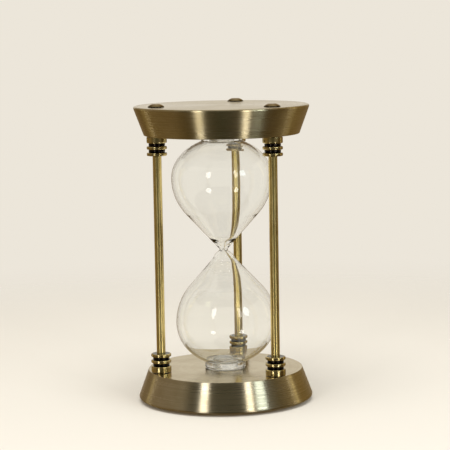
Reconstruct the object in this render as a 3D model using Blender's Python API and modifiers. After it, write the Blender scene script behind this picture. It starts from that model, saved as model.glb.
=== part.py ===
"""Hourglass: two hollow brass end plates, three pillars and a one-piece blown glass.

Frame: metres, +Z up.  The origin is the centre of the bottom, where the three lower
cap screws touch the table.  One pillar stands at the back (+Y) and two at the front.
Both ends are the same assembly.  It is modelled in a frame of its own whose +Z runs
towards the middle of the hourglass, and the upper end is turned over.
"""

import math

import bmesh
import bpy

COLLECTION_NAME = "hourglass"

# End plates: a truncated cone, wide side outwards.
PLATE_RADIUS = 0.0500
PLATE_INNER_RADIUS = 0.0445
PLATE_THICKNESS = 0.0165
PLATE_GAP = 0.1350
PLATE_WALL = 0.0020
PLATE_FACE_WALL = 0.0022
RIM_ROUNDING = 0.0012
INNER_EDGE_ROUNDING = 0.0005

# Cover that closes the open outer side of a plate.
COVER_RADIUS = 0.0475
COVER_THICKNESS = 0.0020
COVER_LEDGE = 0.0020

# Pillars: a rod, a collar at each end, and a cap screw through each plate.
PILLAR_CIRCLE_RADIUS = 0.0384
PILLAR_ANGLES = (90, 210, 330)
ROD_RADIUS = 0.0025
ROD_THREAD_DEPTH = 0.0090
COLLAR_RADIUS = 0.0057
COLLAR_GROOVE_RADIUS = 0.00455
COLLAR_CYLINDER_HEIGHT = 0.0034
COLLAR_BAND_HEIGHT = 0.0018
COLLAR_EDGE = 0.0005
COLLAR_SHOULDER = 0.0042
BOSS_RADIUS = 0.0040
CAP_RADIUS = 0.0047
CAP_FLAT_RADIUS = 0.0022
CAP_FLANK_BULGE = 0.0002
CAP_RIM_HEIGHT = 0.0002
CAP_RISE = 0.0018
SCREW_RADIUS = 0.00125
SCREW_REACH = 0.0062

# Glass: two bulbs that meet at a narrow waist, with an open stub at each end.
WAIST_ABOVE_MIDDLE = 0.0010
WAIST_RADIUS = 0.0023
WAIST_FILLET = 0.0012
SHOULDER_ARC = 0.0305
BULB_RADIUS = 0.0288
BULB_CENTRE = 0.0415
LOWER_CROWN = 0.0254
UPPER_CROWN = 0.0230
GLASS_WALL = 0.0015
STUB_RADIUS = 0.0118
STUB_EDGE = 0.0004
MOUTH_RADIUS = 0.0075

# Stopper in each mouth, and the pad that each stub rests on.
STOPPER_LENGTH = 0.0050
PAD_RADIUS = 0.0112
PAD_BORE_RADIUS = 0.0078
PAD_THICKNESS = 0.0009

# Gap between pieces that touch on the real object.
CLEARANCE = 0.0003

# Facets.
PLATE_SEGMENTS = 36
GLASS_SEGMENTS = 32
SMALL_SEGMENTS = 16
ROD_SEGMENTS = 12
EDGE_STEPS = 2
RIM_STEPS = 4
FLANK_STEPS = 3
WAIST_STEPS = 2
SHOULDER_STEPS = 5
CROWN_STEPS = 6
MERGE_DISTANCE = 0.00001

# Heights in an end's own frame, from the table to the middle.
OUTER_FACE = CAP_RISE
INNER_FACE = OUTER_FACE + PLATE_THICKNESS
FOOT = INNER_FACE + CLEARANCE
ROD_END = FOOT + COLLAR_SHOULDER + CLEARANCE
TOTAL_HEIGHT = 2 * INNER_FACE + PLATE_GAP
MIDDLE = TOTAL_HEIGHT / 2
HOLE_RADIUS = SCREW_RADIUS + CLEARANCE
SEAT_DEPTH = PAD_THICKNESS + CLEARANCE


# ---------------------------------------------------------------- helpers

def clear_scene():
    for item in list(bpy.data.objects):
        bpy.data.objects.remove(item, do_unlink=True)


def new_collection(name):
    collection = bpy.data.collections.new(name)
    bpy.context.scene.collection.children.link(collection)
    return collection


def new_material(name, colour, roughness, metallic, transmission=0.0):
    material = bpy.data.materials.new(name)
    material.use_nodes = True
    shader = material.node_tree.nodes["Principled BSDF"]
    shader.inputs["Base Color"].default_value = (*colour, 1.0)
    shader.inputs["Roughness"].default_value = roughness
    shader.inputs["Metallic"].default_value = metallic
    shader.inputs["Transmission Weight"].default_value = transmission
    return material


def arc(centre, radius, start, end, steps):
    """Points (r, z) on an arc between two angles in degrees, both ends included."""
    points = []
    for step in range(steps + 1):
        angle = math.radians(start + (end - start) * step / steps)
        points.append((centre[0] + radius * math.cos(angle), centre[1] + radius * math.sin(angle)))
    return points


def profile_mesh(name, profile, material, closed=False):
    """Mesh of a turned piece's profile, (r, z) points that run down its outer side."""
    edges = [(index, index + 1) for index in range(len(profile) - 1)]
    if closed:
        edges.append((len(profile) - 1, 0))
    mesh = bpy.data.meshes.new(name)
    mesh.from_pydata([(r, 0.0, z) for r, z in profile], edges, [])
    mesh.materials.append(material)
    return mesh


def turned_piece(name, mesh, segments, parent=None, place=(0.0, 0.0, 0.0)):
    """An object that turns a profile mesh about its own +Z."""
    piece = bpy.data.objects.new(name, mesh)
    parts.objects.link(piece)
    piece.location = place
    piece.parent = parent
    screw = piece.modifiers.new("Turn", "SCREW")
    screw.axis = "Z"
    screw.angle = math.tau
    screw.steps = segments
    screw.render_steps = segments
    screw.use_merge_vertices = True
    screw.merge_threshold = MERGE_DISTANCE
    screw.use_smooth_shade = True
    return piece


def pillar_place(angle):
    radians = math.radians(angle)
    return (PILLAR_CIRCLE_RADIUS * math.cos(radians), PILLAR_CIRCLE_RADIUS * math.sin(radians), 0.0)


def upright_tool(name, radius, bottom, top, place, end):
    """A hidden upright cylinder, used to join or to cut."""
    mesh = bpy.data.meshes.new(name)
    shape = bmesh.new()
    bmesh.ops.create_cone(shape, cap_ends=True, segments=SMALL_SEGMENTS, radius1=radius,
                          radius2=radius, depth=top - bottom)
    shape.to_mesh(mesh)
    shape.free()
    tool = bpy.data.objects.new(name, mesh)
    cutters.objects.link(tool)
    tool.location = (place[0], place[1], (bottom + top) / 2)
    tool.parent = end
    tool.hide_render = True
    tool.display_type = "WIRE"
    return tool


def add_boolean(piece, tool, operation):
    modifier = piece.modifiers.new(tool.name, "BOOLEAN")
    modifier.object = tool
    modifier.operation = operation
    modifier.solver = "EXACT"


def cut_screw_holes(piece, end):
    """The three clearance holes for the cap screws, right through a plate's thickness."""
    for number, angle in enumerate(PILLAR_ANGLES, 1):
        hole = upright_tool(f"{piece.name}_hole_{number}", HOLE_RADIUS, 0.0,
                            INNER_FACE + CAP_RISE, pillar_place(angle), end)
        add_boolean(piece, hole, "DIFFERENCE")


# ---------------------------------------------------------------- end plates

def plate_side_radius(height):
    """Outer radius of the sloping side at a height in the end's frame."""
    share = (height - OUTER_FACE) / PLATE_THICKNESS
    return PLATE_RADIUS + (PLATE_INNER_RADIUS - PLATE_RADIUS) * share


def shell_profile():
    """Bulb seat, inner face, sloping side, rounded rim, then the hollow inside."""
    slope = math.degrees(math.atan2(PLATE_RADIUS - PLATE_INNER_RADIUS, PLATE_THICKNESS))
    inner_edge = (PLATE_INNER_RADIUS - INNER_EDGE_ROUNDING, INNER_FACE - INNER_EDGE_ROUNDING)
    rim_edge = (PLATE_RADIUS - RIM_ROUNDING, OUTER_FACE + RIM_ROUNDING)
    seat_radius = PAD_RADIUS + CLEARANCE
    mouth = COVER_RADIUS + CLEARANCE
    ledge = OUTER_FACE + COVER_THICKNESS + CLEARANCE
    ceiling = INNER_FACE - PLATE_FACE_WALL
    profile = [(0.0, INNER_FACE - SEAT_DEPTH), (seat_radius, INNER_FACE - SEAT_DEPTH),
               (seat_radius, INNER_FACE)]
    profile += arc(inner_edge, INNER_EDGE_ROUNDING, 90.0, slope, EDGE_STEPS)
    profile += arc(rim_edge, RIM_ROUNDING, slope, -90.0, RIM_STEPS)
    profile += [(mouth, OUTER_FACE), (mouth, ledge), (mouth - COVER_LEDGE, ledge),
                (plate_side_radius(ceiling) - PLATE_WALL, ceiling), (0.0, ceiling)]
    return profile


def make_plate_shell(prefix, end):
    """Cast plate, open on its outer side, with a boss inside for each cap screw."""
    name = f"{prefix}_shell"
    brass = new_material(name, (0.42, 0.34, 0.18), 0.30, 1.0)
    shell = turned_piece(name, profile_mesh(name, shell_profile(), brass), PLATE_SEGMENTS, end)
    boss_end = OUTER_FACE + COVER_THICKNESS + CLEARANCE
    boss_root = INNER_FACE - PLATE_FACE_WALL / 2
    for number, angle in enumerate(PILLAR_ANGLES, 1):
        boss = upright_tool(f"{name}_boss_{number}", BOSS_RADIUS, boss_end, boss_root,
                            pillar_place(angle), end)
        add_boolean(shell, boss, "UNION")
    cut_screw_holes(shell, end)


def make_cover(prefix, end):
    """Flat round cover that closes the outer side of a plate."""
    name = f"{prefix}_cover"
    top = OUTER_FACE + COVER_THICKNESS
    profile = [(0.0, top), (COVER_RADIUS, top), (COVER_RADIUS, OUTER_FACE), (0.0, OUTER_FACE)]
    brass = new_material(name, (0.45, 0.37, 0.20), 0.28, 1.0)
    cover = turned_piece(name, profile_mesh(name, profile, brass), PLATE_SEGMENTS, end)
    cut_screw_holes(cover, end)


def make_seat_pad(prefix, end):
    """Soft ring, sunk in the plate, that the glass stub rests on."""
    name = f"{prefix}_seat_pad"
    top = INNER_FACE
    bottom = INNER_FACE - PAD_THICKNESS
    profile = [(PAD_RADIUS, top), (PAD_RADIUS, bottom), (PAD_BORE_RADIUS, bottom),
               (PAD_BORE_RADIUS, top)]
    silicone = new_material(name, (0.75, 0.74, 0.70), 0.45, 0.0)
    turned_piece(name, profile_mesh(name, profile, silicone, closed=True), GLASS_SEGMENTS, end)


# ---------------------------------------------------------------- pillars

def cap_screw_profile():
    """Shank, then a low head: a thin rim, a slightly bulging cone and a flat end at height 0."""
    tip = ROD_END + SCREW_REACH
    underside = CAP_RISE - CLEARANCE
    crown = underside - CAP_RIM_HEIGHT
    width = CAP_RADIUS - CAP_FLAT_RADIUS
    flank = math.hypot(crown, width)
    profile = [(0.0, tip), (SCREW_RADIUS, tip), (SCREW_RADIUS, underside), (CAP_RADIUS, underside)]
    for step in range(FLANK_STEPS + 1):
        share = step / FLANK_STEPS
        bulge = CAP_FLANK_BULGE * math.sin(math.pi * share)
        profile.append((CAP_RADIUS - width * share + bulge * crown / flank,
                        crown * (1 - share) - bulge * width / flank))
    profile.append((0.0, 0.0))
    return profile


def collar_band(bottom):
    """Outer points of a flange or ring with eased edges, from its top edge down."""
    top = bottom + COLLAR_BAND_HEIGHT
    return [(COLLAR_RADIUS - COLLAR_EDGE, top), (COLLAR_RADIUS, top - COLLAR_EDGE),
            (COLLAR_RADIUS, bottom + COLLAR_EDGE), (COLLAR_RADIUS - COLLAR_EDGE, bottom)]


def collar_profile():
    """Flange, groove, ring, groove and a taller cylinder at the plate, bored for rod and screw."""
    cylinder_top = FOOT + COLLAR_CYLINDER_HEIGHT
    ring_bottom = cylinder_top + COLLAR_BAND_HEIGHT
    ring_top = ring_bottom + COLLAR_BAND_HEIGHT
    flange_bottom = ring_top + COLLAR_BAND_HEIGHT
    flange_top = flange_bottom + COLLAR_BAND_HEIGHT
    shoulder = FOOT + COLLAR_SHOULDER
    socket = ROD_RADIUS + CLEARANCE
    profile = collar_band(flange_bottom)
    profile += [(COLLAR_GROOVE_RADIUS, flange_bottom), (COLLAR_GROOVE_RADIUS, ring_top)]
    profile += collar_band(ring_bottom)
    profile += [(COLLAR_GROOVE_RADIUS, ring_bottom), (COLLAR_GROOVE_RADIUS, cylinder_top),
                (COLLAR_RADIUS - COLLAR_EDGE, cylinder_top),
                (COLLAR_RADIUS, cylinder_top - COLLAR_EDGE), (COLLAR_RADIUS, FOOT),
                (HOLE_RADIUS, FOOT), (HOLE_RADIUS, shoulder), (socket, shoulder),
                (socket, flange_top)]
    return profile


def half_rod_profile():
    """Lower half of a rod about its middle, open at the middle, with its tapped hole."""
    end = ROD_END - MIDDLE
    hole_end = end + ROD_THREAD_DEPTH
    return [(ROD_RADIUS, 0.0), (ROD_RADIUS, end), (HOLE_RADIUS, end), (HOLE_RADIUS, hole_end),
            (0.0, hole_end)]


def make_pillar_ends(prefix, end):
    """The collar and the cap screw of each pillar, at one end."""
    collar_brass = new_material(f"{prefix}_collar", (0.40, 0.31, 0.14), 0.32, 1.0)
    screw_brass = new_material(f"{prefix}_cap_screw", (0.36, 0.28, 0.13), 0.30, 1.0)
    collar_mesh = profile_mesh(f"{prefix}_collar", collar_profile(), collar_brass, closed=True)
    screw_mesh = profile_mesh(f"{prefix}_cap_screw", cap_screw_profile(), screw_brass)
    for number, angle in enumerate(PILLAR_ANGLES, 1):
        place = pillar_place(angle)
        turned_piece(f"{prefix}_collar_{number}", collar_mesh, SMALL_SEGMENTS, end, place)
        turned_piece(f"{prefix}_cap_screw_{number}", screw_mesh, ROD_SEGMENTS, end, place)


def make_rods():
    brass = new_material("pillar_rod", (0.45, 0.36, 0.16), 0.30, 1.0)
    mesh = profile_mesh("pillar_rod", half_rod_profile(), brass)
    for number, angle in enumerate(PILLAR_ANGLES, 1):
        x, y, _ = pillar_place(angle)
        rod = turned_piece(f"pillar_rod_{number}", mesh, ROD_SEGMENTS, None, (x, y, MIDDLE))
        mirror = rod.modifiers.new("Mirror", "MIRROR")
        mirror.use_axis = (False, False, True)
        mirror.merge_threshold = MERGE_DISTANCE


# ---------------------------------------------------------------- glass

def bulb_outline(crown, wall, mouth):
    """One bulb as (distance from the waist, radius), from the waist to a mouth radius.

    A fillet at the waist and the shoulder arc are joined by a straight cone that is
    tangent to both, and a half ellipse makes the crown.  The wall moves every curve
    inwards by the same amount.
    """
    fillet = WAIST_FILLET + wall
    shoulder = SHOULDER_ARC - wall
    widest = BULB_RADIUS - wall
    height = crown - wall
    fillet_centre = WAIST_RADIUS - wall + fillet
    shoulder_centre = widest - shoulder
    drop = shoulder_centre - fillet_centre
    cone = math.atan2(drop, BULB_CENTRE)
    cone += math.asin((shoulder + fillet) / math.hypot(BULB_CENTRE, drop))
    outline = []
    for step in range(WAIST_STEPS + 1):
        angle = cone * step / WAIST_STEPS
        outline.append((fillet * math.sin(angle), fillet_centre - fillet * math.cos(angle)))
    for step in range(SHOULDER_STEPS + 1):
        angle = cone * (1 - step / SHOULDER_STEPS)
        outline.append((BULB_CENTRE - shoulder * math.sin(angle),
                        shoulder_centre + shoulder * math.cos(angle)))
    crown_end = math.acos(mouth / widest)
    for step in range(1, CROWN_STEPS + 1):
        angle = crown_end * step / CROWN_STEPS
        outline.append((BULB_CENTRE + height * math.sin(angle), widest * math.cos(angle)))
    return outline


def glass_side(wall, mouth, top, bottom):
    """One surface of the glass as (r, z) points from the upper mouth down to the lower one."""
    upper = bulb_outline(UPPER_CROWN, wall, mouth)
    lower = bulb_outline(LOWER_CROWN, wall, mouth)
    points = [(mouth, top)]
    points += [(radius, distance) for distance, radius in reversed(upper)]
    points += [(radius, -distance) for distance, radius in lower[1:]]
    points.append((mouth, bottom))
    return points


def make_glass():
    waist = MIDDLE + WAIST_ABOVE_MIDDLE
    top = TOTAL_HEIGHT - FOOT - waist
    bottom = FOOT - waist
    outer = glass_side(0.0, STUB_RADIUS, top - STUB_EDGE, bottom + STUB_EDGE)
    inner = glass_side(GLASS_WALL, MOUTH_RADIUS, top, bottom)
    bevel = STUB_RADIUS - STUB_EDGE
    profile = [(bevel, top)] + outer + [(bevel, bottom)] + inner[::-1]
    glass = new_material("glass_bulbs", (1.0, 1.0, 1.0), 0.02, 0.0, transmission=1.0)
    mesh = profile_mesh("glass_bulbs", profile, glass, closed=True)
    turned_piece("glass_bulbs", mesh, GLASS_SEGMENTS, None, (0.0, 0.0, waist))


def make_stopper(prefix, end):
    """Clear plug that closes the mouth of a bulb, flush with the end of its stub."""
    name = f"{prefix}_stopper"
    radius = MOUTH_RADIUS - CLEARANCE
    top = FOOT + STOPPER_LENGTH
    profile = [(0.0, top), (radius, top), (radius, FOOT), (0.0, FOOT)]
    clear = new_material(name, (0.9, 0.9, 0.88), 0.15, 0.0, transmission=1.0)
    turned_piece(name, profile_mesh(name, profile, clear), GLASS_SEGMENTS, end)


# ---------------------------------------------------------------- assembly

def make_end(prefix, end):
    make_plate_shell(prefix, end)
    make_cover(prefix, end)
    make_seat_pad(prefix, end)
    make_stopper(prefix, end)
    make_pillar_ends(prefix, end)


def new_end(name, height, turn):
    """Empty that carries one end of the hourglass."""
    end = bpy.data.objects.new(name, None)
    parts.objects.link(end)
    end.location = (0.0, 0.0, height)
    end.rotation_euler = (0.0, turn, 0.0)
    return end


clear_scene()
parts = new_collection(COLLECTION_NAME)
cutters = new_collection("cutters")
make_end("base", new_end("base_end", 0.0, 0.0))
make_end("top", new_end("top_end", TOTAL_HEIGHT, math.pi))
make_rods()
make_glass()
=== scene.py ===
"""Looks of the empty brass and glass hourglass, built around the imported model.  Metres, +Z up.

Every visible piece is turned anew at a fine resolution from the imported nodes' own boxes.
An end's own frame has its +Z towards the middle of the hourglass, as in the design: the
upper end is the lower one turned over about Y.
"""

import math

import bmesh
import bpy
from mathutils import Matrix, Vector


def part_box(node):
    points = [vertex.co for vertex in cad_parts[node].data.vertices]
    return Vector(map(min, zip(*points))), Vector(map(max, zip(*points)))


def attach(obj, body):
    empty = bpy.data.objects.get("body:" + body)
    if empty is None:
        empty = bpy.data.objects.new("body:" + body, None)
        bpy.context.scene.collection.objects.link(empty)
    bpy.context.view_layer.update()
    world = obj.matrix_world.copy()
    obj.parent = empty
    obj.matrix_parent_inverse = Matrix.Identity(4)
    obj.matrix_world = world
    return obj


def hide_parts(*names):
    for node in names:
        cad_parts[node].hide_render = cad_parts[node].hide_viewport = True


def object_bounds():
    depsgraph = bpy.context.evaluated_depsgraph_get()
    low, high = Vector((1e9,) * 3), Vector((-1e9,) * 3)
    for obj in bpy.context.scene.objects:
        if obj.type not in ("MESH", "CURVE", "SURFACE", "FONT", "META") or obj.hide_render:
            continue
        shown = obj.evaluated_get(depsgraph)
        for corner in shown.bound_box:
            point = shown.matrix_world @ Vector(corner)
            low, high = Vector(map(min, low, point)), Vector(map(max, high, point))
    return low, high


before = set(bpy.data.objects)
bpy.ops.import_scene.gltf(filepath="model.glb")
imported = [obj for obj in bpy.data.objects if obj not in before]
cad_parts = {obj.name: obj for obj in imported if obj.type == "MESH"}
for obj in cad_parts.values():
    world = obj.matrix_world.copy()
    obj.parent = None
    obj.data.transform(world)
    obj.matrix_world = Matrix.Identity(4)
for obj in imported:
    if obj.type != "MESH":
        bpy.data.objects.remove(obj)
cad_low, cad_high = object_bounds()

MM = 0.001
SCENE = bpy.context.scene

# Camera, at the reference view: bearing from the front (-Y) towards +X.
VIEW_BEARING = math.radians(12.66)
VIEW_DISTANCE = 1.021
VIEW_HEIGHT = 0.2265
VIEW_PITCH = math.radians(7.01)
VIEW_ROLL = math.radians(0.96)
VIEW_YAW = math.radians(0.059)
VIEW_LENS = 143.6
SENSOR_WIDTH = 36.0
CLIP_NEAR = 0.05
CLIP_FAR = 20.0

# To the right, as the camera sees it.
SIDEWAYS = Vector((math.cos(VIEW_BEARING), math.sin(VIEW_BEARING), 0.0))

# Fineness of the turned pieces.
PLATE_STEPS = 192
COLLAR_STEPS = 96
ROD_STEPS = 64
GLASS_STEPS = 160
TOOL_STEPS = 32
CORNER_STEPS = 6
WAIST_STEPS = 8
CONE_STEPS = 12
SHOULDER_STEPS = 28
CROWN_STEPS = 36
HOLLOW_STEPS = 5
HOLLOW_SHOULDER_STEPS = 24

# A rounding takes no more than this share of the lines beside it, and its support
# points lie this far outside it.
ROUNDING_SHARE = 0.48
SUPPORT = 0.12 * MM

# Points nearer than this are merged, and edges sharper than this stay sharp.
MERGE_DISTANCE = 0.001 * MM
SHARP_ANGLE = math.radians(32)

# A face whose normal is this near the axis belongs to the plate's flat sides.
FLAT_NORMAL = 0.98

# Plates.
PLATE_INNER_RADIUS = 44.5 * MM
PLATE_WALL = 2.0 * MM
PLATE_FACE_WALL = 2.2 * MM
RIM_ROUNDING = 1.2 * MM
INNER_EDGE_ROUNDING = 0.5 * MM
SEAT_EDGE_ROUNDING = 0.12 * MM
HOLLOW_ROUNDING = 1.0 * MM
COVER_LEDGE = 2.0 * MM
COVER_SEAM = 0.05 * MM
COVER_EDGE_ROUNDING = 0.08 * MM
BOSS_RADIUS = 4.0 * MM
HOLE_RADIUS = 1.55 * MM
HOLE_OVERRUN = 1.0 * MM

# Soft pad under the glass, and the plug in its mouth.
PAD_BORE_RADIUS = 7.8 * MM
PAD_EDGE_ROUNDING = 0.15 * MM
PLUG_EDGE_ROUNDING = 0.5 * MM

# Collars, from the plate to the rod: a cylinder, a groove, a ring, a groove and a flange.
CYLINDER_HEIGHT = 3.4 * MM
BAND_HEIGHT = 1.8 * MM
BAND_ROUNDING = 0.55 * MM
GROOVE_RADIUS = 4.45 * MM
GROOVE_CROWN = 0.25 * MM
GROOVE_ROUNDING = 1.2 * MM
COLLAR_SHOULDER = 4.2 * MM
COLLAR_FOOT_ROUNDING = 0.2 * MM
SOCKET_CLEARANCE = 0.05 * MM
SOCKET_ROUNDING = 0.1 * MM

# Rods: a tapped hole in each end.
ROD_HOLE_DEPTH = 9.0 * MM
ROD_EDGE_ROUNDING = 0.2 * MM

# Cap screws.
CAP_SEAM = 0.02 * MM
CAP_FLAT_RADIUS = 2.2 * MM
CAP_RIM_HEIGHT = 0.3 * MM
CAP_RIM_ROUNDING = 0.1 * MM
CAP_FLANK_BULGE = 0.2 * MM
CAP_FLANK_ROUNDING = 4.0 * MM
CAP_EDGE_ROUNDING = 0.25 * MM
SHANK_RADIUS = 1.25 * MM
SHANK_CHAMFER = 0.3 * MM
THREAD_PITCH = 0.5 * MM
THREAD_DEPTH = 0.2 * MM

# Glass.
WAIST_ABOVE_MIDDLE = 1.0 * MM
WAIST_RADIUS = 2.3 * MM
WAIST_FILLET = 1.2 * MM
SHOULDER_ARC = 30.5 * MM
BULB_CENTRE = 41.5 * MM
LOWER_CROWN = 25.4 * MM
UPPER_CROWN = 23.0 * MM
GLASS_WALL = 1.1 * MM
MOUTH_RADIUS = 7.5 * MM
STUB_RADIUS = 11.8 * MM
STUB_HEIGHT = 2.0 * MM
STUB_ROUNDING = 0.6 * MM

# The glass swells out just below the waist: how far, at what distance and over what distance.
NECK_SWELL = 1.1 * MM
NECK_SWELL_AT = 2.4 * MM
NECK_SWELL_SPREAD = 1.6 * MM

# The wall is even from this distance from the waist on.
THICK_END = 20.5 * MM

# The hollow's radius where the glass is thick, in mm: (distance from the waist, radius).
UPPER_HOLLOW = [(0.0, 0.8), (1.2, 0.8), (2.4, 1.3), (3.6, 2.4), (5.0, 4.1), (6.5, 6.0),
                (8.0, 7.6), (12.0, 11.2), (16.0, 14.8)]
LOWER_HOLLOW = [(0.0, 0.8), (0.7, 0.9), (1.6, 2.1), (3.0, 3.7), (5.0, 5.5), (8.0, 8.0),
                (12.0, 11.2), (16.0, 14.8)]

# How far each bulb leans to the right.
LOWER_LEAN = 1.0 * MM
UPPER_LEAN = -0.45 * MM


# ---------------------------------------------------------------- shape helpers

def rounded(corners, closed=False):
    """Profile (r, z) through corners (r, z, rounding radius), each rounded by an arc.

    A point is added just before and after each arc, so that the shading of a flat
    stretch isn't drawn into the rounding beside it.
    """
    points = []
    count = len(corners)
    for index, (r, z, radius) in enumerate(corners):
        here = Vector((r, z))
        at_end = not closed and index in (0, count - 1)
        if radius <= 0 or at_end:
            points.append((r, z))
            continue
        before = Vector(corners[index - 1][:2]) - here
        after = Vector(corners[(index + 1) % count][:2]) - here
        half = before.angle(after) / 2
        room_before = before.length * ROUNDING_SHARE
        room_after = after.length * ROUNDING_SHARE
        reach = min(radius / math.tan(half), room_before, room_after)
        radius = reach * math.tan(half)
        inwards = (before.normalized() + after.normalized()).normalized()
        centre = here + inwards * radius / math.sin(half)
        start = here + before.normalized() * reach - centre
        finish = here + after.normalized() * reach - centre
        turn = start.angle_signed(finish)
        lead = min(SUPPORT, room_before - reach)
        if lead > 0:
            points.append(tuple(here + before.normalized() * (reach + lead)))
        for step in range(CORNER_STEPS + 1):
            spoke = start.copy()
            spoke.rotate(Matrix.Rotation(-turn * step / CORNER_STEPS, 2))
            points.append(tuple(centre + spoke))
        trail = min(SUPPORT, room_after - reach)
        if trail > 0:
            points.append(tuple(here + after.normalized() * (reach + trail)))
    return points


def shade(mesh):
    """Smooth shading, apart from the sharp edges."""
    mesh.shade_smooth()
    mesh.set_sharp_from_angle(angle=SHARP_ANGLE)


def turned(name, profile, steps, material, closed=False):
    """A mesh turned about +Z from a profile of (r, z) points."""
    shape = bmesh.new()
    corners = [shape.verts.new((r, 0.0, z)) for r, z in profile]
    lines = [shape.edges.new(pair) for pair in zip(corners, corners[1:])]
    if closed:
        lines.append(shape.edges.new((corners[-1], corners[0])))
    bmesh.ops.spin(shape, geom=corners + lines, axis=(0, 0, 1), cent=(0, 0, 0), steps=steps,
                   angle=math.tau, use_merge=True)
    bmesh.ops.remove_doubles(shape, verts=shape.verts, dist=MERGE_DISTANCE)
    bmesh.ops.recalc_face_normals(shape, faces=shape.faces)
    mesh = bpy.data.meshes.new(name)
    shape.to_mesh(mesh)
    shape.free()
    mesh.materials.append(material)
    shade(mesh)
    return mesh


def place_piece(name, mesh, matrix, node):
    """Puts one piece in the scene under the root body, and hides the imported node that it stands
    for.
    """
    piece = bpy.data.objects.new(name, mesh)
    SCENE.collection.objects.link(piece)
    piece.matrix_world = matrix
    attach(piece, "root")
    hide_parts(node)
    return piece


def upright_tool(radius, bottom, top, place):
    """A plain upright cylinder at a pillar, for joining to a mesh or cutting it."""
    shape = bmesh.new()
    middle = Matrix.Translation((place.x, place.y, (bottom + top) / 2))
    bmesh.ops.create_cone(shape, cap_ends=True, segments=TOOL_STEPS, radius1=radius,
                          radius2=radius, depth=top - bottom, matrix=middle)
    mesh = bpy.data.meshes.new("tool")
    shape.to_mesh(mesh)
    shape.free()
    tool = bpy.data.objects.new("tool", mesh)
    SCENE.collection.objects.link(tool)
    return tool


def combined(mesh, tools):
    """The mesh after each (tool, operation) has been joined to it or cut out of it."""
    body = bpy.data.objects.new("body", mesh)
    SCENE.collection.objects.link(body)
    for tool, operation in tools:
        modifier = body.modifiers.new("tool", "BOOLEAN")
        modifier.object = tool
        modifier.operation = operation
        modifier.solver = "EXACT"
    evaluated = body.evaluated_get(bpy.context.evaluated_depsgraph_get())
    result = bpy.data.meshes.new_from_object(evaluated)
    result.name = mesh.name
    for item in [body] + [tool for tool, _ in tools]:
        bpy.data.objects.remove(item, do_unlink=True)
    shade(result)
    return result


def node_centre(node):
    """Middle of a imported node's box."""
    low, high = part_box(node)
    return (low + high) / 2


# ---------------------------------------------------------------- node helper

# Sockets of the colour Mix node, which has others of the same names.
MIX_SHARE = 0
MIX_FIRST = 6
MIX_SECOND = 7
MIX_RESULT = 2


class Tree:
    """Short hand for a node tree: add a node with its settings and its inputs."""

    def __init__(self, owner):
        owner.use_nodes = True
        self.tree = owner.node_tree
        self.tree.nodes.clear()

    def set_input(self, socket, value):
        """Links a node's input to a socket, or sets it to a plain value."""
        if isinstance(value, bpy.types.NodeSocket):
            self.tree.links.new(value, socket)
        else:
            socket.default_value = value

    def add(self, kind, inputs=None, **settings):
        node = self.tree.nodes.new(f"ShaderNode{kind}")
        for name, value in settings.items():
            setattr(node, name, value)
        for name, value in (inputs or {}).items():
            self.set_input(node.inputs[name], value)
        return node

    def math(self, operation, first, second=0.0, third=0.0):
        values = {0: first, 1: second, 2: third}
        return self.add("Math", values, operation=operation).outputs[0]

    def mix(self, share, first, second):
        """Colour that goes from first to second as share goes from 0 to 1."""
        inputs = {MIX_SHARE: share, MIX_FIRST: first, MIX_SECOND: second}
        return self.add("Mix", data_type="RGBA", inputs=inputs).outputs[MIX_RESULT]

    def step(self, value, low, high, low_out=0.0, high_out=1.0):
        """Smooth step of value between low and high."""
        inputs = {"Value": value, "From Min": low, "From Max": high,
                  "To Min": low_out, "To Max": high_out}
        return self.add("MapRange", inputs, interpolation_type="SMOOTHSTEP").outputs["Result"]

    def noise(self, vector, scale, detail=2.0, roughness=0.5):
        inputs = {"Vector": vector, "Scale": scale, "Detail": detail, "Roughness": roughness}
        return self.add("TexNoise", inputs).outputs["Fac"]


# ---------------------------------------------------------------- brass

# Each brass goes from its own colour to a deeper one in clouds and streaks.
BRASS = (0.60, 0.52, 0.34, 1.0)
BRASS_DEEP = (0.50, 0.41, 0.23, 1.0)
# The lower plate's pair is the plate brass made paler and bluer: painted light, for the cooler
# window light that the lower plate mirrors.
PAINTED_COOL_LIGHT_BRASS = (0.60, 0.53, 0.39, 1.0)
PAINTED_COOL_LIGHT_DEEP = (0.50, 0.43, 0.28, 1.0)
GOLDEN = (0.66, 0.53, 0.25, 1.0)
GOLDEN_DEEP = (0.42, 0.31, 0.11, 1.0)
ROD_BRASS = (0.82, 0.67, 0.29, 1.0)
ROD_DEEP = (0.66, 0.51, 0.18, 1.0)
CAP_BRASS = (0.46, 0.36, 0.18, 1.0)
CAP_DEEP = (0.24, 0.17, 0.08, 1.0)
# Black for the collars' groove finish, and for the painted shade at the caps' rims.
BLACK_FINISH_AND_SHADE = (0.012, 0.009, 0.006, 1.0)

# Painted shade: a cap's rim turns black towards the plate, for the shadow in the gap under it,
# between these heights above its flat end.
CAP_SHADE_FROM = 1.25 * MM
CAP_SHADE_FULL = 1.45 * MM

# The black finish in the collars' grooves ends between these distances from the axis.
GROOVE_DARK_FULL = 4.85 * MM
GROOVE_DARK_END = 5.35 * MM

# Each brass's roughness, in its smoothest and in its roughest streaks.
SIDE_ROUGHNESS = (0.26, 0.34)
FACE_ROUGHNESS = (0.16, 0.22)
ROD_ROUGHNESS = (0.24, 0.32)
COLLAR_ROUGHNESS = (0.16, 0.24)
CAP_ROUGHNESS = (0.12, 0.20)
SIDE_ANISOTROPY = 1.0
FACE_ANISOTROPY = 0.7

# Turn of the highlight, so that it lies across the turning marks.
QUARTER_TURN = 0.25

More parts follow.
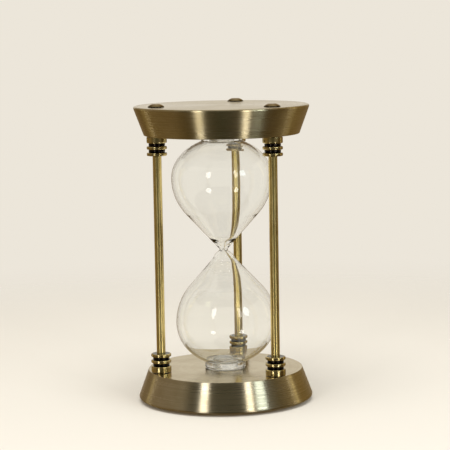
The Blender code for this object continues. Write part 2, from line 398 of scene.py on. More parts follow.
# Marks left by turning, brushing and drawing: noise that is slow along a mark and quick
# across it, in cycles per metre.
STREAK_LONG = 9.0
DRAWN_LONG = 36.0
STREAK_FINE = 3200.0
STREAK_COARSE = 900.0
COARSE_SHARE = 0.5
STREAK_NOISE = {"scale": 1.0, "detail": 3.0, "roughness": 0.6}
STREAK_RANGE = (0.38, 0.62)
STREAK_HEIGHT = 0.0001 * MM
FINE_STREAK_HEIGHT = 0.00005 * MM
COARSE_STREAK_HEIGHT = 0.0002 * MM

# Clouds of patina, and their part in the colour beside the coarse streaks.
PATINA_SCALE = 60.0
CLOUD_NOISE = {"detail": 4.0, "roughness": 0.6}
PATINA_SHARE = 0.75
PATINA_RANGE = (0.36, 0.66)

# Lacquer over every brass.
LACQUER = 0.10
LACQUER_ROUGHNESS = 0.08
LACQUER_IOR = 1.5


def round_streaks(tree, fine):
    """Noise drawn out round the piece's axis, as turning and brushing marks are.

    It changes with the height less the distance from the axis, so that flat faces have
    rings too.
    """
    split = tree.add("SeparateXYZ", {"Vector": tree.add("TexCoord").outputs["Object"]})
    along = tree.math("SUBTRACT", split.outputs["Z"], axis_distance(tree))
    vector = tree.add("CombineXYZ", {
        "X": tree.math("MULTIPLY", split.outputs["X"], STREAK_LONG),
        "Y": tree.math("MULTIPLY", split.outputs["Y"], STREAK_LONG),
        "Z": tree.math("MULTIPLY", along, fine)}).outputs[0]
    return tree.noise(vector, **STREAK_NOISE)


def drawn_streaks(tree, fine):
    """Noise drawn out along the piece's axis, as on drawn rod."""
    place = tree.add("TexCoord").outputs["Object"]
    vector = tree.add("VectorMath", {0: place, 1: (fine, fine, DRAWN_LONG)}, operation="MULTIPLY")
    return tree.noise(vector.outputs[0], **STREAK_NOISE)


def axis_distance(tree):
    """Distance from the piece's own axis."""
    flat = tree.add("VectorMath", {0: tree.add("TexCoord").outputs["Object"], 1: (1.0, 1.0, 0.0)},
                    operation="MULTIPLY").outputs[0]
    return tree.add("VectorMath", {0: flat}, operation="LENGTH").outputs["Value"]


def clouds(tree, scale):
    """Soft uneven noise."""
    place = tree.add("TexCoord").outputs["Object"]
    return tree.noise(place, scale, **CLOUD_NOISE)


def share_of(tree, first, second, share):
    """Sum of two values, with the given share of the second."""
    return tree.math("ADD", tree.math("MULTIPLY", first, 1 - share),
                     tree.math("MULTIPLY", second, share))


def brass_material(name, roughness_range, streak_height, streaks=round_streaks,
                   anisotropy=0.0, colours=(BRASS, BRASS_DEEP), black_finish_and_shade=None):
    """Lacquered antique brass, whose roughness changes from streak to streak.

    A last function, if given, says how far the colour turns black: a real black finish in the
    collars' grooves, and painted shade at the caps' rims.
    """
    material = bpy.data.materials.new(name)
    tree = Tree(material)
    fine = streaks(tree, STREAK_FINE)
    coarse = streaks(tree, STREAK_COARSE)
    patina = clouds(tree, PATINA_SCALE)
    depth = tree.step(share_of(tree, coarse, patina, PATINA_SHARE), *PATINA_RANGE)
    colour = tree.mix(depth, *colours)
    # Black where the function says so: a black finish, or painted shade.
    if black_finish_and_shade:
        colour = tree.mix(black_finish_and_shade(tree), colour, BLACK_FINISH_AND_SHADE)
    streak = share_of(tree, fine, coarse, COARSE_SHARE)
    roughness = tree.step(streak, *STREAK_RANGE, *roughness_range)
    bump = tree.add("Bump", {"Height": streak, "Strength": 1.0, "Distance": streak_height})
    inputs = {"Base Color": colour, "Metallic": 1.0, "Roughness": roughness,
              "Normal": bump.outputs[0], "Coat Weight": LACQUER,
              "Coat Roughness": LACQUER_ROUGHNESS, "Coat IOR": LACQUER_IOR,
              "Anisotropic": anisotropy}
    if anisotropy:
        inputs["Anisotropic Rotation"] = QUARTER_TURN
        inputs["Tangent"] = tree.add("Tangent", direction_type="RADIAL", axis="Z").outputs[0]
    shader = tree.add("BsdfPrincipled", inputs)
    tree.add("OutputMaterial", {"Surface": shader.outputs[0]})
    return material


def groove_blackening(tree):
    """The black finish that fills a collar's grooves."""
    return tree.step(axis_distance(tree), GROOVE_DARK_FULL, GROOVE_DARK_END, 1.0, 0.0)


def rim_painted_shade(tree):
    """Painted shade: the dark ring where a cap's rim meets the plate, for the shadow in the gap
    under the rim.
    """
    place = tree.add("TexCoord").outputs["Object"]
    height = tree.add("SeparateXYZ", {"Vector": place}).outputs["Z"]
    return tree.step(height, CAP_SHADE_FROM, CAP_SHADE_FULL)


# ---------------------------------------------------------------- clear materials

GLASS_COLOUR = (0.985, 0.99, 0.98, 1.0)
GLASS_IOR = 1.47
PLUG_COLOUR = (0.97, 0.97, 0.96, 1.0)
PLUG_ROUGHNESS = 0.20
PLUG_IOR = 1.45
CLEAR_SHADOW = (0.93, 0.93, 0.92, 1.0)

# Waves and seeds: how quick the noise is in cycles per metre, and how high they stand.
WAVE_SCALE = 90.0
WAVE_HEIGHT = 0.02 * MM
SEED_SCALE = 700.0
SEED_DETAIL = 3.0
SEED_RANGE = (0.52, 0.70)
SEED_HEIGHT = 0.05 * MM
PLUG_SCALE = 600.0

# Seeds at the upper end: their share of the full height, and the distances above the waist
# between which they grow.  From SEEDS_SIDE to the right they fade, to none at the axis.
UPPER_SEEDS = 0.4
SEEDS_FROM = 44.0 * MM
SEEDS_FULL = 54.0 * MM
SEEDS_SIDE = -6.0 * MM

# Seeds at the foot grow between these distances below the waist.
FOOT_SEEDS_FROM = 63.0 * MM
FOOT_SEEDS_FULL = 65.5 * MM

# Milky pads.
PAD_COLOURS = ((0.80, 0.79, 0.74, 1.0), (0.66, 0.65, 0.60, 1.0))
PAD_CLOUDS = 300.0
PAD_GRAIN = 900.0
PAD_GRAIN_STRENGTH = 0.3
PAD_GRAIN_HEIGHT = 0.05 * MM
PAD_ROUGHNESS = 0.45
PAD_IOR = 1.41
PAD_CLEARNESS = 0.6


def clear_material(name, colour, roughness, ior, height):
    """Clear solid whose surface has the height that the function draws.  Shadows stay light."""
    material = bpy.data.materials.new(name)
    tree = Tree(material)
    bump = tree.add("Bump", {"Height": height(tree), "Strength": 1.0, "Distance": 1.0})
    shader = tree.add("BsdfPrincipled", {
        "Base Color": colour, "Roughness": roughness, "IOR": ior, "Transmission Weight": 1.0,
        "Normal": bump.outputs[0]})
    passing = tree.add("BsdfTransparent", {"Color": CLEAR_SHADOW})
    shadow = tree.add("LightPath").outputs["Is Shadow Ray"]
    mixed = tree.add("MixShader", {0: shadow, 1: shader.outputs[0], 2: passing.outputs[0]})
    tree.add("OutputMaterial", {"Surface": mixed.outputs[0]})
    return material


def blown_surface(tree):
    """Long soft waves all over, and small seeds and dimples towards the two tooled ends."""
    place = tree.add("TexCoord").outputs["Object"]
    along = tree.add("SeparateXYZ", {"Vector": place}).outputs["Z"]
    waves = tree.math("MULTIPLY", tree.noise(place, WAVE_SCALE), WAVE_HEIGHT)
    sideways = tree.add("VectorMath", {0: place, 1: SIDEWAYS}, operation="DOT_PRODUCT")
    patches = tree.step(sideways.outputs["Value"], SEEDS_SIDE, 0.0, UPPER_SEEDS, 0.0)
    upper_end = tree.math("MULTIPLY", tree.step(along, SEEDS_FROM, SEEDS_FULL), patches)
    lower_end = tree.step(tree.math("MULTIPLY", along, -1.0), FOOT_SEEDS_FROM, FOOT_SEEDS_FULL)
    ends = tree.math("MAXIMUM", upper_end, lower_end)
    seeds = tree.step(tree.noise(place, SEED_SCALE, detail=SEED_DETAIL), *SEED_RANGE)
    dimples = tree.math("MULTIPLY", tree.math("MULTIPLY", seeds, ends), SEED_HEIGHT)
    return tree.math("ADD", waves, dimples)


def plug_surface(tree):
    """Small dimples all over."""
    place = tree.add("TexCoord").outputs["Object"]
    return tree.math("MULTIPLY", tree.noise(place, PLUG_SCALE), SEED_HEIGHT)


def pad_material():
    """Milky soft pad."""
    material = bpy.data.materials.new("seat_silicone")
    tree = Tree(material)
    tint = tree.mix(clouds(tree, PAD_CLOUDS), *PAD_COLOURS)
    bump = tree.add("Bump", {"Height": clouds(tree, PAD_GRAIN), "Strength": PAD_GRAIN_STRENGTH,
                             "Distance": PAD_GRAIN_HEIGHT})
    shader = tree.add("BsdfPrincipled", {
        "Base Color": tint, "Roughness": PAD_ROUGHNESS, "IOR": PAD_IOR,
        "Transmission Weight": PAD_CLEARNESS, "Normal": bump.outputs[0]})
    tree.add("OutputMaterial", {"Surface": shader.outputs[0]})
    return material


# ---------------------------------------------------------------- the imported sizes

shell_low, shell_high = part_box("base_shell")
cover_low, cover_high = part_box("base_cover")
pad_low, pad_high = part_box("base_seat_pad")
plug_low, plug_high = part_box("base_stopper")
cap_low, cap_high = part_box("base_cap_screw_1")
collar_low, collar_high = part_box("base_collar_1")
rod_low, rod_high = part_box("pillar_rod_1")
glass_low, glass_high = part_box("glass_bulbs")

HEIGHT = cad_high.z
OUTER_FACE = shell_low.z
INNER_FACE = shell_high.z
PLATE_RADIUS = shell_high.x
COVER_TOP = cover_high.z
FOOT = collar_low.z
COLLAR_RADIUS = (collar_high.x - collar_low.x) / 2
COLLAR_TOP = collar_high.z
CAP_RADIUS = (cap_high.x - cap_low.x) / 2
SCREW_TIP = cap_high.z
ROD_RADIUS = (rod_high.x - rod_low.x) / 2
BULB_RADIUS = glass_high.x

ENDS = {
    "lower": ("base", 0.0, Matrix.Identity(4)),
    "upper": ("top", HEIGHT, Matrix.Rotation(math.pi, 4, "Y")),
}
PILLARS = (1, 2, 3)
BASE_PLACES = [node_centre(f"base_cap_screw_{number}") for number in PILLARS]


# ---------------------------------------------------------------- plates

def plate_mesh(side, face):
    """Cast plate: seat, inner face, sloping side, rounded rim, ledge and hollow.

    The corners at the rim and the inner edge lie outside the roundings, so that the
    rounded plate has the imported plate's radii.
    """
    slope = math.atan2(PLATE_RADIUS - PLATE_INNER_RADIUS, INNER_FACE - OUTER_FACE)
    rim = PLATE_RADIUS - RIM_ROUNDING + RIM_ROUNDING / math.tan((math.pi / 2 - slope) / 2)
    edge = PLATE_INNER_RADIUS - INNER_EDGE_ROUNDING
    edge += INNER_EDGE_ROUNDING / math.tan((math.pi / 2 + slope) / 2)
    seat = pad_high.x + COVER_SEAM
    seat_depth = pad_low.z - COVER_SEAM
    mouth = cover_high.x + COVER_SEAM
    ledge = COVER_TOP + COVER_SEAM
    ceiling = INNER_FACE - PLATE_FACE_WALL
    wall = PLATE_INNER_RADIUS + PLATE_FACE_WALL * math.tan(slope) - PLATE_WALL
    profile = rounded([
        (0.0, seat_depth, 0.0), (seat, seat_depth, 0.0), (seat, INNER_FACE, SEAT_EDGE_ROUNDING),
        (edge, INNER_FACE, INNER_EDGE_ROUNDING), (rim, OUTER_FACE, RIM_ROUNDING),
        (mouth, OUTER_FACE, COVER_EDGE_ROUNDING), (mouth, ledge, 0.0),
        (mouth - COVER_LEDGE, ledge, 0.0), (wall, ceiling, HOLLOW_ROUNDING),
        (0.0, ceiling, 0.0)])
    mesh = turned("plate", profile, PLATE_STEPS, side)
    boss_root = INNER_FACE - PLATE_FACE_WALL / 2
    bosses = [(upright_tool(BOSS_RADIUS, ledge, boss_root, place), "UNION")
              for place in BASE_PLACES]
    mesh = combined(mesh, bosses + screw_holes())
    mesh.materials.append(face)
    for polygon in mesh.polygons:
        polygon.material_index = int(abs(polygon.normal.z) > FLAT_NORMAL)
    return mesh


def screw_holes():
    """Cutters for the three screw holes."""
    top = INNER_FACE + HOLE_OVERRUN
    return [(upright_tool(HOLE_RADIUS, 0.0, top, place), "DIFFERENCE") for place in BASE_PLACES]


def cover_mesh(material):
    """Flat disc that closes the plate's hollow side."""
    profile = rounded([(0.0, COVER_TOP, 0.0), (cover_high.x, COVER_TOP, COVER_EDGE_ROUNDING),
                       (cover_high.x, OUTER_FACE, COVER_EDGE_ROUNDING), (0.0, OUTER_FACE, 0.0)])
    return combined(turned("plate_cover", profile, PLATE_STEPS, material), screw_holes())


def seat_mesh(material):
    """Flat soft ring under the glass."""
    places = [(pad_high.x, pad_high.z), (pad_high.x, pad_low.z),
              (PAD_BORE_RADIUS, pad_low.z), (PAD_BORE_RADIUS, pad_high.z)]
    profile = rounded([(r, z, PAD_EDGE_ROUNDING) for r, z in places], closed=True)
    return turned("glass_seat", profile, COLLAR_STEPS, material, closed=True)


def plug_mesh(material):
    """Straight plug in the glass's mouth."""
    profile = rounded([(0.0, plug_high.z, 0.0), (plug_high.x, plug_high.z, PLUG_EDGE_ROUNDING),
                       (plug_high.x, plug_low.z, PLUG_EDGE_ROUNDING), (0.0, plug_low.z, 0.0)])
    return turned("mouth_plug", profile, COLLAR_STEPS, material)


# ---------------------------------------------------------------- pillars

def band(bottom):
    """Corners of a flange or ring, top edge first."""
    top = bottom + BAND_HEIGHT
    return [(COLLAR_RADIUS, top, BAND_ROUNDING), (COLLAR_RADIUS, bottom, BAND_ROUNDING)]


def groove(top, bottom):
    """Corners of a groove whose black filling bulges slightly, from its top to its bottom."""
    middle = (top + bottom) / 2
    crown = GROOVE_RADIUS + GROOVE_CROWN
    return [(GROOVE_RADIUS, top, 0.0), (crown, middle, GROOVE_ROUNDING),
            (GROOVE_RADIUS, bottom, 0.0)]


def collar_mesh(material):
    """One collar, in its own frame: the plate's face is at height FOOT."""
    cylinder_top = FOOT + CYLINDER_HEIGHT
    ring_bottom = cylinder_top + BAND_HEIGHT
    ring_top = ring_bottom + BAND_HEIGHT
    flange_bottom = COLLAR_TOP - BAND_HEIGHT
    shoulder = FOOT + COLLAR_SHOULDER
    socket = ROD_RADIUS + SOCKET_CLEARANCE
    corners = band(flange_bottom)
    corners += groove(flange_bottom, ring_top)
    corners += band(ring_bottom)
    corners += groove(ring_bottom, cylinder_top)
    corners += [(COLLAR_RADIUS, cylinder_top, BAND_ROUNDING),
                (COLLAR_RADIUS, FOOT, COLLAR_FOOT_ROUNDING), (HOLE_RADIUS, FOOT, 0.0),
                (HOLE_RADIUS, shoulder, 0.0), (socket, shoulder, 0.0),
                (socket, COLLAR_TOP, SOCKET_ROUNDING)]
    profile = rounded(corners, closed=True)
    return turned("collar", profile, COLLAR_STEPS, material, closed=True)


def flank_corner(crown):
    """Corner (r, z) that makes a cap's flank bulge, half way from its rim to its flat end."""
    width = CAP_RADIUS - CAP_FLAT_RADIUS
    length = math.hypot(crown, width)
    return (CAP_RADIUS - width / 2 + CAP_FLANK_BULGE * crown / length,
            crown / 2 - CAP_FLANK_BULGE * width / length)


def cap_mesh(material):
    """Cap screw: threaded shank and a low conical head whose flat end is at height 0."""
    underside = OUTER_FACE - CAP_SEAM
    crown = underside - CAP_RIM_HEIGHT
    thread_end = INNER_FACE + COLLAR_SHOULDER
    threads = int((SCREW_TIP - thread_end) / THREAD_PITCH)
    corners = [(0.0, SCREW_TIP, 0.0), (SHANK_RADIUS - SHANK_CHAMFER, SCREW_TIP, 0.0)]
    for turn in range(1, threads):
        height = SCREW_TIP - turn * THREAD_PITCH
        corners += [(SHANK_RADIUS, height + THREAD_PITCH / 4, 0.0),
                    (SHANK_RADIUS - THREAD_DEPTH, height - THREAD_PITCH / 4, 0.0)]
    corners += [(SHANK_RADIUS, thread_end, 0.0), (SHANK_RADIUS, underside, 0.0),
                (CAP_RADIUS, underside, CAP_RIM_ROUNDING), (CAP_RADIUS, crown, CAP_RIM_ROUNDING),
                (*flank_corner(crown), CAP_FLANK_ROUNDING),
                (CAP_FLAT_RADIUS, 0.0, CAP_EDGE_ROUNDING), (0.0, 0.0, 0.0)]
    return turned("cap_screw", rounded(corners), COLLAR_STEPS, material)


def pillar_mesh(material):
    """Rod with a tapped hole in each end."""
    low, high = rod_low.z, rod_high.z
    hole_top = high - ROD_HOLE_DEPTH
    hole_bottom = low + ROD_HOLE_DEPTH
    profile = rounded([
        (0.0, hole_top, 0.0), (HOLE_RADIUS, hole_top, 0.0), (HOLE_RADIUS, high, ROD_EDGE_ROUNDING),
        (ROD_RADIUS, high, ROD_EDGE_ROUNDING), (ROD_RADIUS, low, ROD_EDGE_ROUNDING),
        (HOLE_RADIUS, low, ROD_EDGE_ROUNDING), (HOLE_RADIUS, hole_bottom, 0.0),
        (0.0, hole_bottom, 0.0)])
    return turned("pillar", profile, ROD_STEPS, material)


# ---------------------------------------------------------------- glass

def shoulder_and_crown(wall, crown, mouth, cone, steps):
    """Wide part of a bulb, lying wall inside its outer side, as (distance from waist, radius).

    The shoulder's arc starts where it leans by the angle cone, and has the given number of
    steps.  The crown is an ellipse's arc that ends where it is as narrow as the mouth.
    """
    widest = BULB_RADIUS - wall
    arc = SHOULDER_ARC - wall
    centre = BULB_RADIUS - SHOULDER_ARC
    outline = []
    for step in range(steps + 1):
        angle = cone * (1 - step / steps)
        outline.append((BULB_CENTRE - arc * math.sin(angle), centre + arc * math.cos(angle)))
    crown_end = math.acos(mouth / widest)
    for step in range(1, CROWN_STEPS + 1):
        angle = crown_end * step / CROWN_STEPS
        outline.append((BULB_CENTRE + (crown - wall) * math.sin(angle), widest * math.cos(angle)))
    return outline


def outer_outline(crown):
    """Outer wall of one bulb, from the waist's fillet through a straight cone to the stub."""
    fillet_centre = WAIST_RADIUS + WAIST_FILLET
    drop = BULB_RADIUS - SHOULDER_ARC - fillet_centre
    cone = math.atan2(drop, BULB_CENTRE)
    cone += math.asin((SHOULDER_ARC + WAIST_FILLET) / math.hypot(BULB_CENTRE, drop))
    outline = []
    for step in range(WAIST_STEPS + 1):
        angle = cone * step / WAIST_STEPS
        outline.append((WAIST_FILLET * math.sin(angle),
                        fillet_centre - WAIST_FILLET * math.cos(angle)))
    bulb = shoulder_and_crown(0.0, crown, STUB_RADIUS, cone, SHOULDER_STEPS)
    start = outline[-1]
    for step in range(1, CONE_STEPS):
        share = step / CONE_STEPS
        outline.append(tuple(a + (b - a) * share for a, b in zip(start, bulb[0])))
    return outline + bulb


def smooth_curve(points, steps):
    """Points on a smooth curve through the given ones (Catmull-Rom), steps for each span."""
    curve = []
    last = len(points) - 1
    for index in range(last):
        near = [Vector(points[min(max(index + shift, 0), last)]) for shift in (-1, 0, 1, 2)]
        a, b, c, d = near
        for step in range(steps):
            t = step / steps
            curve.append(tuple(0.5 * (2 * b + (c - a) * t + (2 * a - 5 * b + 4 * c - d) * t ** 2
                                      + (3 * b - a - 3 * c + d) * t ** 3)))
    return curve + [points[last]]


def inner_outline(crown, hollow):
    """Inner wall of one bulb: the hollow in the thick neck, then an even wall to the mouth."""
    points = [(distance * MM, radius * MM) for distance, radius in hollow]
    cone = math.asin((BULB_CENTRE - THICK_END) / (SHOULDER_ARC - GLASS_WALL))
    bulb = shoulder_and_crown(GLASS_WALL, crown, MOUTH_RADIUS, cone, HOLLOW_SHOULDER_STEPS)
    return smooth_curve(points, HOLLOW_STEPS) + bulb


def neck_swell(distance):
    """How far the glass swells out just below the waist."""
    return NECK_SWELL * math.exp(-((distance - NECK_SWELL_AT) / NECK_SWELL_SPREAD) ** 2)


def waist_profile(upper, lower, swell=None):
    """One wall of the glass as (r, z) from its top to its bottom, with the waist at height 0."""
    profile = [(radius, distance) for distance, radius in reversed(upper)]
    for distance, radius in lower[1:]:
        extra = swell(distance) if swell else 0.0
        profile.append((radius + extra, -distance))
    return profile


def mouth_rim(height, inside):
    """Corners of a stub's rounded end, from its bore to its outer side.

    The level inside is where the stub's plain walls start.
    """
    return [(MOUTH_RADIUS, inside, 0.0), (MOUTH_RADIUS, height, STUB_ROUNDING),
            (STUB_RADIUS, height, STUB_ROUNDING), (STUB_RADIUS, inside, 0.0)]


def glass_mesh(material):
    """The whole glass about its waist, leaning as hand-blown glass does, and its place."""
    waist = HEIGHT / 2 + WAIST_ABOVE_MIDDLE
    top = glass_high.z - waist
    bottom = glass_low.z - waist
    outer = waist_profile(outer_outline(UPPER_CROWN), outer_outline(LOWER_CROWN), neck_swell)
    inner = waist_profile(inner_outline(UPPER_CROWN, UPPER_HOLLOW),
                          inner_outline(LOWER_CROWN, LOWER_HOLLOW))
    upper_foot = rounded(mouth_rim(top, top - STUB_HEIGHT))
    lower_foot = rounded(mouth_rim(bottom, bottom + STUB_HEIGHT)[::-1])
    profile = upper_foot + outer + lower_foot + inner[::-1]
    mesh = turned("blown_glass", profile, GLASS_STEPS, material, closed=True)
    for vertex in mesh.vertices:
        height = vertex.co.z
        end_height, lean = (top, UPPER_LEAN) if height > 0 else (bottom, LOWER_LEAN)
        vertex.co += SIDEWAYS * lean * math.sin(math.pi * min(height / end_height, 1.0))
    return mesh, Matrix.Translation((0.0, 0.0, waist))


# ---------------------------------------------------------------- assembly

upper_side = brass_material("plate_brushed_brass", SIDE_ROUGHNESS, STREAK_HEIGHT,
                            anisotropy=SIDE_ANISOTROPY)
# The lower plate's copy of the side brass, paler and bluer: painted cool window light.
lower_side_painted_light = brass_material("lower_plate_painted_cool_light_brass", SIDE_ROUGHNESS, STREAK_HEIGHT,
                            anisotropy=SIDE_ANISOTROPY, colours=(PAINTED_COOL_LIGHT_BRASS, PAINTED_COOL_LIGHT_DEEP))
face_brass = brass_material("plate_face_brass", FACE_ROUGHNESS, FINE_STREAK_HEIGHT,
                            anisotropy=FACE_ANISOTROPY)
rod_brass = brass_material("rod_satin_brass", ROD_ROUGHNESS, STREAK_HEIGHT,
                           streaks=drawn_streaks, colours=(ROD_BRASS, ROD_DEEP))
collar_brass = brass_material("collar_turned_brass", COLLAR_ROUGHNESS, COARSE_STREAK_HEIGHT,
                              colours=(GOLDEN, GOLDEN_DEEP), black_finish_and_shade=groove_blackening)
# The caps' rims darken towards the plate: painted shade.
cap_brass = brass_material("cap_antique_brass", CAP_ROUGHNESS, COARSE_STREAK_HEIGHT,
                           colours=(CAP_BRASS, CAP_DEEP), black_finish_and_shade=rim_painted_shade)
glass_clear = clear_material("blown_clear_glass", GLASS_COLOUR, 0.0, GLASS_IOR, blown_surface)
plug_clear = clear_material("plug_clear", PLUG_COLOUR, PLUG_ROUGHNESS, PLUG_IOR, plug_surface)

upper_plate = plate_mesh(upper_side, face_brass)
# The lower plate is the same plate, with the painted-light brass on its side.
lower_plate = upper_plate.copy()
lower_plate.materials[0] = lower_side_painted_light
plates = {"upper": upper_plate, "lower": lower_plate}
cover = cover_mesh(face_brass)
seat = seat_mesh(pad_material())
plug = plug_mesh(plug_clear)
collar = collar_mesh(collar_brass)
cap = cap_mesh(cap_brass)
pillar = pillar_mesh(rod_brass)
glass, glass_matrix = glass_mesh(glass_clear)

for end, (prefix, height, turn) in ENDS.items():
    matrix = Matrix.Translation((0.0, 0.0, height)) @ turn
    place_piece(f"{end}_plate", plates[end], matrix, f"{prefix}_shell")
    place_piece(f"{end}_plate_cover", cover, matrix, f"{prefix}_cover")
    place_piece(f"{end}_glass_seat", seat, matrix, f"{prefix}_seat_pad")
    place_piece(f"{end}_mouth_plug", plug, matrix, f"{prefix}_stopper")
    for number in PILLARS:
        centre = node_centre(f"{prefix}_collar_{number}")
        matrix = Matrix.Translation((centre.x, centre.y, height)) @ turn
        place_piece(f"{end}_pillar_collar_{number}", collar, matrix,
                    f"{prefix}_collar_{number}")
        place_piece(f"{end}_screw_cap_{number}", cap, matrix,
                    f"{prefix}_cap_screw_{number}")
for number in PILLARS:
    centre = node_centre(f"pillar_rod_{number}")
    matrix = Matrix.Translation((centre.x, centre.y, 0.0))
    place_piece(f"pillar_{number}", pillar, matrix, f"pillar_rod_{number}")
place_piece("blown_glass", glass, glass_matrix, "glass_bulbs")


# ---------------------------------------------------------------- studio

BEARING = math.degrees(VIEW_BEARING)
WALL = (0.84, 0.79, 0.70, 1.0)
AMBIENT = (0.55, 0.53, 0.49, 1.0)

# The floor fades from FLOOR_FULL to FLOOR_GONE from the axis, just inside its edge.
FLOOR = (0.80, 0.76, 0.69, 1.0)
FLOOR_ROUGHNESS = 0.85
FLOOR_GLOSS = 0.1
FLOOR_STEPS = 128
FLOOR_FULL = 0.25
FLOOR_GONE = 0.588
FLOOR_END = 0.60


def direction(bearing, elevation):
    """Unit vector towards a bearing from the front (-Y) to +X, and an elevation, in degrees."""
    bearing = math.radians(bearing)
    elevation = math.radians(elevation)
    return Vector((math.sin(bearing) * math.cos(elevation),
                   -math.cos(bearing) * math.cos(elevation), math.sin(elevation)))


# What brass and glass mirror of the room, above and below the horizon: (bearing from the
# camera's in degrees, colour).
ROOM_ABOVE = [
    (-180, (0.80, 0.75, 0.66)), (-166, (0.66, 0.60, 0.50)), (-150, (0.22, 0.16, 0.08)),
    (-131, (0.30, 0.24, 0.15)), (-128, (0.90, 0.75, 0.40)), (-125, (0.30, 0.24, 0.17)),
    (-64, (0.31, 0.27, 0.20)), (-57, (0.16, 0.14, 0.10)), (-52, (0.03, 0.03, 0.022)),
    (-46, (0.05, 0.048, 0.035)), (-20, (0.035, 0.033, 0.022)), (20, (0.035, 0.034, 0.024)),
    (60, (0.19, 0.19, 0.17)), (78, (0.14, 0.12, 0.075)), (100, (0.24, 0.18, 0.10)),
    (108, (0.38, 0.31, 0.20)), (111, (1.90, 1.60, 0.85)), (114, (0.34, 0.26, 0.13)),
    (124, (0.30, 0.20, 0.07)), (150, (0.24, 0.17, 0.07)), (168, (0.60, 0.52, 0.40)),
    (180, (0.80, 0.75, 0.66))]
ROOM_BELOW = [
    (-180, (0.25, 0.17, 0.09)), (-140, (0.16, 0.10, 0.03)), (-131, (0.18, 0.12, 0.04)),
    (-128, (0.80, 0.64, 0.30)), (-125, (0.20, 0.137, 0.055)), (-75, (0.21, 0.15, 0.075)),
    (-54, (0.11, 0.08, 0.035)), (-18, (0.085, 0.075, 0.05)), (0, (0.07, 0.068, 0.045)),
    (20, (0.08, 0.07, 0.05)), (52, (0.10, 0.075, 0.04)), (61, (0.075, 0.05, 0.018)),
    (80, (0.07, 0.042, 0.012)), (97, (0.11, 0.08, 0.04)), (108, (0.22, 0.17, 0.11)),
    (111, (0.72, 0.60, 0.32)), (114, (0.22, 0.17, 0.10)), (120, (0.20, 0.14, 0.05)),
    (180, (0.25, 0.17, 0.09))]

# The lower ramp turns into the upper one between this far below and above the horizon.
HORIZON = 0.05

# The plain ceiling, and the heights in the direction's Z between which it starts.
CEILING = (0.62, 0.59, 0.52, 1.0)
CEILING_FROM = 0.72
CEILING_FULL = 0.92

WARM_WHITE = (1.0, 0.98, 0.95)

# Soft lights: name, bearing from the camera's, elevation, distance, size, power in watts,
# colour, and whether brass and glass mirror them.
LIGHTS = [
    ("window_left_top", -31, 22, 1.25, (0.24, 0.52), 2.45, WARM_WHITE, True),
    ("window_left_bottom", -30.5, -20, 1.25, (0.25, 0.26), 1.25, WARM_WHITE, True),
    ("window_front_top", 33, 22, 1.25, (0.20, 0.50), 2.0, WARM_WHITE, True),
    ("window_front_bottom", 34, -20, 1.25, (0.22, 0.24), 1.5, WARM_WHITE, True),
    ("window_right", 50.5, 22, 1.3, (0.34, 0.44), 2.7, (0.78, 0.93, 1.0), True),
    ("strip_left", -119, -12, 1.25, (0.03, 0.50), 0.07, (1.0, 0.92, 0.75), True),
    ("strip_right", 101, -4, 1.25, (0.03, 0.50), 0.07, (1.0, 0.94, 0.80), True),
    ("overhead", -10, 72, 1.4, (1.2, 1.2), 14.0, WARM_WHITE, False),
]


def room_ramp(tree, share, stops):
    """Colour round the room, where share goes from 0 to 1 as the bearing goes from -180 to 180."""
    ramp = tree.add("ValToRGB", {"Fac": share})
    elements = ramp.color_ramp.elements
    elements.remove(elements[1])
    for index, (bearing, colour) in enumerate(stops):
        stop = elements[0] if index == 0 else elements.new(1.0)
        stop.position = bearing / 360 + 0.5
        stop.color = (*colour, 1.0)
    return ramp.outputs["Color"]


def towards(tree, way, bearing):
    """How far the direction way points towards a level bearing."""
    inputs = {0: way, 1: direction(bearing, 0.0)}
    return tree.add("VectorMath", inputs, operation="DOT_PRODUCT").outputs["Value"]


def make_world():
    """Pale studio.  The room of the ramps above shows only where a surface mirrors it."""
    world = bpy.data.worlds.new("studio")
    SCENE.world = world
    world.cycles.sampling_method = "NONE"
    tree = Tree(world)
    way = tree.add("TexCoord").outputs["Generated"]
    turn = tree.math("ARCTAN2", towards(tree, way, BEARING + 90.0), towards(tree, way, BEARING))
    share = tree.math("MULTIPLY_ADD", turn, 1 / math.tau, 0.5)
    height = tree.add("SeparateXYZ", {"Vector": way}).outputs["Z"]
    below = room_ramp(tree, share, ROOM_BELOW)
    above = room_ramp(tree, share, ROOM_ABOVE)
    room = tree.mix(tree.step(height, -HORIZON, HORIZON), below, above)
    room = tree.mix(tree.step(height, CEILING_FROM, CEILING_FULL), room, CEILING)
    path = tree.add("LightPath").outputs
    mirrored = tree.math("MULTIPLY", path["Is Glossy Ray"], path["Is Reflection Ray"])
    colour = tree.mix(mirrored, WALL, room)
    colour = tree.mix(path["Is Diffuse Ray"], colour, AMBIENT)
    background = tree.add("Background", {"Color": colour, "Strength": 1.0})
    tree.add("OutputWorld", {"Surface": background.outputs[0]})


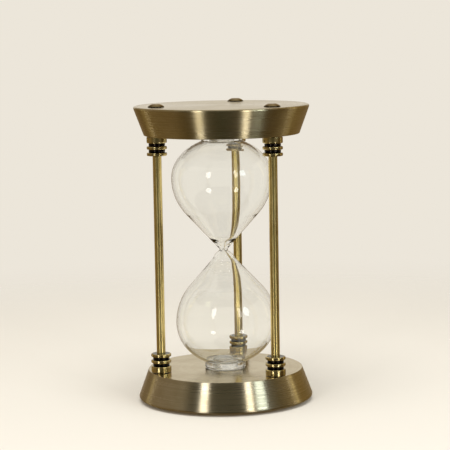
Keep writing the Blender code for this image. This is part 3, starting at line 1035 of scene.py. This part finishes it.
def softbox(name, bearing, elevation, distance, size, power, colour, mirrored):
    """A soft elliptical light that faces the middle of the hourglass."""
    lamp = bpy.data.lights.new(name, "AREA")
    lamp.shape = "ELLIPSE"
    lamp.size, lamp.size_y = size
    lamp.energy = power
    lamp.color = colour
    light = bpy.data.objects.new(name, lamp)
    SCENE.collection.objects.link(light)
    way = direction(BEARING + bearing, elevation)
    light.location = Vector((0.0, 0.0, HEIGHT / 2)) + way * distance
    light.rotation_euler = way.to_track_quat("Z", "Y").to_euler()
    light.visible_camera = False
    light.visible_transmission = False
    light.visible_glossy = mirrored


def make_floor():
    """Pale round floor that fades into the pale studio."""
    shape = bmesh.new()
    bmesh.ops.create_circle(shape, cap_ends=True, segments=FLOOR_STEPS, radius=FLOOR_END)
    mesh = bpy.data.meshes.new("studio_floor")
    shape.to_mesh(mesh)
    shape.free()
    material = bpy.data.materials.new("studio_floor")
    tree = Tree(material)
    place = tree.add("TexCoord").outputs["Object"]
    radius = tree.add("VectorMath", {0: place}, operation="LENGTH").outputs["Value"]
    fade = tree.step(radius, FLOOR_FULL, FLOOR_GONE)
    solid = tree.add("BsdfPrincipled", {"Base Color": FLOOR, "Roughness": FLOOR_ROUGHNESS,
                                        "Specular IOR Level": FLOOR_GLOSS})
    clear = tree.add("BsdfTransparent")
    mixed = tree.add("MixShader", {0: fade, 1: solid.outputs[0], 2: clear.outputs[0]})
    tree.add("OutputMaterial", {"Surface": mixed.outputs[0]})
    mesh.materials.append(material)
    floor = bpy.data.objects.new("studio_floor", mesh)
    SCENE.collection.objects.link(floor)
    floor.visible_glossy = False
    floor.visible_shadow = False


def make_camera():
    """The reference camera."""
    data = bpy.data.cameras.new("camera")
    data.sensor_width = SENSOR_WIDTH
    data.lens = VIEW_LENS
    data.clip_start = CLIP_NEAR
    data.clip_end = CLIP_FAR
    camera = bpy.data.objects.new("camera", data)
    SCENE.collection.objects.link(camera)
    camera.location = (VIEW_DISTANCE * math.sin(VIEW_BEARING),
                       -VIEW_DISTANCE * math.cos(VIEW_BEARING), VIEW_HEIGHT)
    turn = Matrix.Rotation(VIEW_BEARING - VIEW_YAW, 3, "Z")
    turn = turn @ Matrix.Rotation(math.pi / 2 - VIEW_PITCH, 3, "X")
    turn = turn @ Matrix.Rotation(-VIEW_ROLL, 3, "Z")
    camera.rotation_euler = turn.to_euler()
    SCENE.camera = camera


make_world()
make_floor()
for light in LIGHTS:
    softbox(*light)
make_camera()
SCENE.view_settings.view_transform = "Standard"
